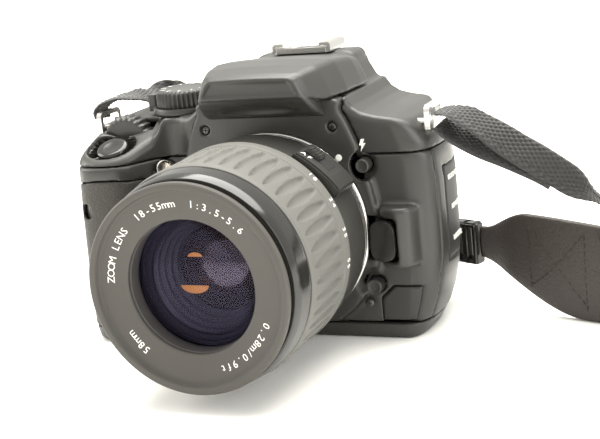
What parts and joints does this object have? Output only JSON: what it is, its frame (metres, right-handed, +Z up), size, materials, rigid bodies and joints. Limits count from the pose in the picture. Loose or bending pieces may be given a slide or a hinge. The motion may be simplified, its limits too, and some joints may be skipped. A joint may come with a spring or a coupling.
{
  "type": "dslr camera",
  "caption": "Interchangeable-lens reflex camera with a zoom lens, pop-up flash, hot shoe, doors, dials and buttons, and a padded neck strap.",
  "frame": {"origin": "middle of the camera and lens, seen from above, on the surface that the base stands on; the neck strap isn't counted", "axes": "+Z up, the lens looks along -Y, +X towards the camera's own left-hand side (the viewer's right)"},
  "size_m": [0.2447, 0.148, 0.0942],
  "materials": {
    "body_plastic": "satin moulded black",
    "gloss_plastic": "polished black",
    "grip_rubber": "fine-grained soft black rubber",
    "ring_rubber": "ribbed dark grey rubber",
    "bright_metal": "bright plated",
    "dark_metal": "dark anodised",
    "coated_glass": "coated optical glass",
    "mirror_silver": "front-silvered",
    "sensor": "filtered sensor",
    "screen": "clear cover over a dark screen",
    "battery": "matt grey case",
    "webbing": "woven nylon",
    "pad_leather": "black synthetic leather"
  },
  "bodies": {
    "root": {"front_cover": "body_plastic", "grip_rubber": "grip_rubber", "top_cover": "body_plastic", "rear_cover": "body_plastic", "bottom_cover": "body_plastic", "name_plate": "gloss_plastic", "thumb_rest": "grip_rubber", "lcd_window": "screen", "eyecup": "grip_rubber", "eyepiece_lens": "coated_glass", "hot_shoe": "bright_metal", "strap_lug_left": "bright_metal", "strap_lug_right": "bright_metal", "mount_ring": "bright_metal", "mirror_box": "dark_metal", "focusing_screen": "coated_glass", "pentamirror": "dark_metal", "shutter_frame": "dark_metal", "image_sensor": "sensor", "battery_pack": "battery", "tripod_bush": "bright_metal", "strap_web_left": "webbing", "strap_web_right": "webbing", "strap_pad": "pad_leather", "strap_slider": "gloss_plastic"},
    "flash": {"flash_head": "body_plastic", "flash_lens": "coated_glass"},
    "mirror": {"reflex_mirror": "mirror_silver"},
    "secondary_mirror": {"sub_mirror": "mirror_silver"},
    "curtain": {"shutter_curtain": "gloss_plastic"},
    "mode_dial": {"mode_dial": "body_plastic"},
    "power_switch": {"power_switch": "body_plastic"},
    "main_dial": {"main_dial": "body_plastic"},
    "shutter_button": {"shutter_button": "gloss_plastic"},
    "flash_button": {"flash_button": "body_plastic"},
    "preview_button": {"preview_button": "body_plastic"},
    "lens_release": {"lens_release_button": "body_plastic"},
    "port_door": {"port_cover": "grip_rubber"},
    "card_door": {"card_door": "body_plastic"},
    "battery_door": {"battery_door": "body_plastic"},
    "lens": {"lens_mount": "bright_metal", "lens_barrel": "body_plastic", "aperture_unit": "gloss_plastic", "rear_element": "coated_glass"},
    "focus_mode": {"focus_switch": "body_plastic"},
    "zoom": {"zoom_ring": "ring_rubber"},
    "front_group": {"front_barrel": "gloss_plastic"},
    "focus": {"focus_ring": "body_plastic", "front_element": "coated_glass"},
    "menu_button": {"menu_button": "body_plastic"},
    "info_button": {"info_button": "body_plastic"},
    "play_button": {"play_button": "body_plastic"},
    "erase_button": {"erase_button": "body_plastic"},
    "set_button": {"set_button": "body_plastic"},
    "up_button": {"up_button": "body_plastic"},
    "down_button": {"down_button": "body_plastic"},
    "left_button": {"left_button": "body_plastic"},
    "right_button": {"right_button": "body_plastic"},
    "exposure_lock_button": {"exposure_lock_button": "body_plastic"},
    "focus_point_button": {"focus_point_button": "body_plastic"}
  },
  "joints": [
    {"name": "flash_lift", "type": "hinge", "parent": "root", "child": "flash", "pos_m": [0.0079, 0.0341, 0.09], "axis": [-1, 0, 0], "range_deg": [0, 78]},
    {"name": "mirror_swing", "type": "hinge", "parent": "root", "child": "mirror", "pos_m": [0.0079, 0.0362, 0.0518], "axis": [-1, 0, 0], "range_deg": [0, 45]},
    {"name": "secondary_mirror_fold", "type": "hinge", "parent": "mirror", "child": "secondary_mirror", "pos_m": [0.0079, 0.03084, 0.04444], "axis": [-1, 0, 0], "range_deg": [0, 78]},
    {"name": "curtain_drop", "type": "slide", "parent": "root", "child": "curtain", "axis": [0, 0, -1], "range_m": [0, 0.0172], "stiffness_N_per_m": 30},
    {"name": "mode_dial_turn", "type": "hinge", "parent": "root", "child": "mode_dial", "pos_m": [-0.0297, 0.0252, 0.0759], "axis": [0, 0, 1], "continuous": true},
    {"name": "power_switch_turn", "type": "hinge", "parent": "root", "child": "power_switch", "pos_m": [-0.0297, 0.0252, 0.076], "axis": [0, 0, 1], "range_deg": [0, 40]},
    {"name": "main_dial_turn", "type": "hinge", "parent": "root", "child": "main_dial", "pos_m": [-0.0497, 0.0172, 0.0659], "axis": [0, 1, 0], "continuous": true},
    {"name": "shutter_press", "type": "slide", "parent": "root", "child": "shutter_button", "axis": [0, 0.4112, -0.9115], "range_m": [0, 0.0012], "stiffness_N_per_m": 200},
    {"name": "flash_button_press", "type": "slide", "parent": "root", "child": "flash_button", "axis": [0, 1, 0], "range_m": [0, 0.0007], "stiffness_N_per_m": 250},
    {"name": "preview_press", "type": "slide", "parent": "root", "child": "preview_button", "axis": [0, 1, 0], "range_m": [0, 0.0007], "stiffness_N_per_m": 250},
    {"name": "lens_release_press", "type": "slide", "parent": "root", "child": "lens_release", "axis": [0, 1, 0], "range_m": [0, 0.0014], "stiffness_N_per_m": 300},
    {"name": "menu_press", "type": "slide", "parent": "root", "child": "menu_button", "axis": [0, -1, 0], "range_m": [0, 0.0006], "stiffness_N_per_m": 250},
    {"name": "info_press", "type": "slide", "parent": "root", "child": "info_button", "axis": [0, -1, 0], "range_m": [0, 0.0006], "stiffness_N_per_m": 250},
    {"name": "play_press", "type": "slide", "parent": "root", "child": "play_button", "axis": [0, -1, 0], "range_m": [0, 0.0006], "stiffness_N_per_m": 250},
    {"name": "erase_press", "type": "slide", "parent": "root", "child": "erase_button", "axis": [0, -1, 0], "range_m": [0, 0.0006], "stiffness_N_per_m": 250},
    {"name": "set_press", "type": "slide", "parent": "root", "child": "set_button", "axis": [0, -1, 0], "range_m": [0, 0.0006], "stiffness_N_per_m": 250},
    {"name": "up_press", "type": "slide", "parent": "root", "child": "up_button", "axis": [0, -1, 0], "range_m": [0, 0.0006], "stiffness_N_per_m": 250},
    {"name": "down_press", "type": "slide", "parent": "root", "child": "down_button", "axis": [0, -1, 0], "range_m": [0, 0.0006], "stiffness_N_per_m": 250},
    {"name": "left_press", "type": "slide", "parent": "root", "child": "left_button", "axis": [0, -1, 0], "range_m": [0, 0.0006], "stiffness_N_per_m": 250},
    {"name": "right_press", "type": "slide", "parent": "root", "child": "right_button", "axis": [0, -1, 0], "range_m": [0, 0.0006], "stiffness_N_per_m": 250},
    {"name": "exposure_lock_press", "type": "slide", "parent": "root", "child": "exposure_lock_button", "axis": [0, -1, 0], "range_m": [0, 0.0006], "stiffness_N_per_m": 250},
    {"name": "focus_point_press", "type": "slide", "parent": "root", "child": "focus_point_button", "axis": [0, -1, 0], "range_m": [0, 0.0006], "stiffness_N_per_m": 250},
    {"name": "port_door_open", "type": "hinge", "parent": "root", "child": "port_door", "pos_m": [0.0625, 0.0192, 0.0395], "axis": [0, 0, -1], "range_deg": [0, 100]},
    {"name": "card_door_open", "type": "hinge", "parent": "root", "child": "card_door", "pos_m": [-0.0634, 0.0301, 0.035], "axis": [0.036, 0, 0.9994], "range_deg": [0, 100]},
    {"name": "battery_door_open", "type": "hinge", "parent": "root", "child": "battery_door", "pos_m": [-0.0501, 0.0344, 0.0012], "axis": [1, 0, 0], "range_deg": [0, 90]},
    {"name": "lens_twist", "type": "hinge", "parent": "root", "child": "lens", "pos_m": [0.0079, 0.0042, 0.0382], "axis": [0, -1, 0], "range_deg": [0, 60]},
    {"name": "focus_mode_slide", "type": "slide", "parent": "lens", "child": "focus_mode", "axis": [0.7431, 0, -0.6691], "range_m": [0, 0.0042]},
    {"name": "zoom_turn", "type": "hinge", "parent": "lens", "child": "zoom", "pos_m": [0.0079, -0.0318, 0.0382], "axis": [0, -1, 0], "range_deg": [0, 70]},
    {"name": "front_group_slide", "type": "slide", "parent": "lens", "child": "front_group", "axis": [0, -1, 0], "range_m": [0, 0.0121]},
    {"name": "focus_turn", "type": "hinge", "parent": "front_group", "child": "focus", "pos_m": [0.0079, -0.0558, 0.0382], "axis": [0, 1, 0], "range_deg": [-45, 45]}
  ],
  "couplings": [
    {"joint": "secondary_mirror_fold", "follows": "mirror_swing", "ratio": 1.73},
    {"joint": "front_group_slide", "follows": "zoom_turn", "m_per_rad": 0.009822}
  ]
}
